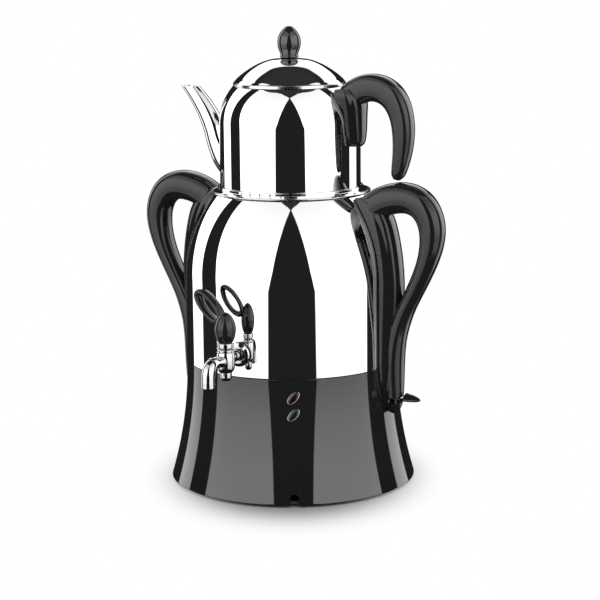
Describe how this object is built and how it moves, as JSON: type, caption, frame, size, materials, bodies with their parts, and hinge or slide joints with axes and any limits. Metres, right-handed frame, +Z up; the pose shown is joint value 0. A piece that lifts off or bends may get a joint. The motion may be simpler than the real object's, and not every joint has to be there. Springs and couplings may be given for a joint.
{
  "type": "electric samovar",
  "caption": "Electric tea samovar: polished steel tank on a flared black base, loop handles, plug tap with a loop lever, and a lidded teapot seated on the tank's lid ring.",
  "frame": {"origin": "on the tank's vertical axis at the floor, under the base", "axes": "+Z up, the tap points along -Y, the handles lie along X with the teapot's handle and the thermostat lever at +X and its spout at -X"},
  "size_m": [0.2992, 0.2648, 0.4072],
  "materials": {
    "plastic_gloss": "glossy black moulding",
    "plastic_matte": "matt black moulding",
    "steel_polished": "mirror-polished stainless steel",
    "chrome": "chrome plate",
    "steel_dull": "plain zinc-plated or stainless steel",
    "aluminium": "cast, plain",
    "brass": "machined, plated where it shows",
    "rubber": "matt black rubber",
    "phenolic": "heat-resistant moulding",
    "lens_red": "clear tinted lens",
    "lens_green": "clear tinted lens"
  },
  "bodies": {
    "samovar_base": {"base_shell": "plastic_gloss", "base_plate": "plastic_matte", "base_foot_1": "rubber", "base_foot_2": "rubber", "base_foot_3": "rubber", "base_foot_4": "rubber", "base_post_1": "steel_dull", "base_screw_1": "steel_dull", "base_post_2": "steel_dull", "base_screw_2": "steel_dull", "base_post_3": "steel_dull", "base_screw_3": "steel_dull", "heat_shield": "steel_dull", "heater_plate": "aluminium", "heating_element": "steel_dull", "thermal_cutout": "phenolic", "thermostat_bracket": "steel_dull", "thermostat_body": "phenolic", "lamp_holder": "phenolic", "indicator_bezel_red": "chrome", "indicator_lens_red": "lens_red", "indicator_bezel_green": "chrome", "indicator_lens_green": "lens_green", "terminal_block": "phenolic", "inlet_housing": "plastic_gloss", "inlet_pin_line": "brass", "inlet_pin_neutral": "brass", "inlet_pin_earth": "brass", "tank_shell": "steel_polished", "handle_right": "plastic_gloss", "handle_stud_right": "steel_dull", "handle_screw_right": "steel_dull", "handle_left": "plastic_gloss", "handle_stud_left": "steel_dull", "handle_screw_left": "steel_dull", "tap_flange": "chrome", "tap_gasket_outer": "rubber", "tap_gasket_inner": "rubber", "tap_locknut": "steel_dull", "tap_body": "chrome", "tap_bonnet": "chrome"},
    "tank_lid": {"tank_lid_ring": "steel_polished"},
    "teapot": {"teapot_body": "steel_polished", "teapot_spout": "steel_polished", "teapot_handle": "plastic_gloss", "teapot_handle_stud": "steel_dull"},
    "teapot_lid_body": {"teapot_lid": "steel_polished", "lid_knob": "plastic_gloss", "lid_screw": "steel_dull"},
    "tap_key": {"tap_plug": "brass", "tap_collar": "chrome", "tap_knob": "plastic_gloss", "tap_lever_loop": "plastic_gloss", "tap_nut": "chrome"},
    "thermostat_key": {"thermostat_lever": "plastic_gloss"}
  },
  "joints": [
    {"name": "tank_lid_lift", "type": "slide", "parent": "samovar_base", "child": "tank_lid", "axis": [0, 0, 1], "range_m": [0, 0.06]},
    {"name": "teapot_lift", "type": "slide", "parent": "tank_lid", "child": "teapot", "axis": [0, 0, 1], "range_m": [0, 0.08]},
    {"name": "teapot_lid_lift", "type": "slide", "parent": "teapot", "child": "teapot_lid_body", "axis": [0, 0, 1], "range_m": [0, 0.05]},
    {"name": "tap_turn", "type": "hinge", "parent": "samovar_base", "child": "tap_key", "pos_m": [0, -0.1185, 0.1305], "axis": [0, 0, 1], "range_deg": [0, 90]},
    {"name": "thermostat_turn", "type": "hinge", "parent": "samovar_base", "child": "thermostat_key", "pos_m": [0.086, 0, 0.0807], "axis": [0, 0, 1], "range_deg": [-12, 12]}
  ]
}
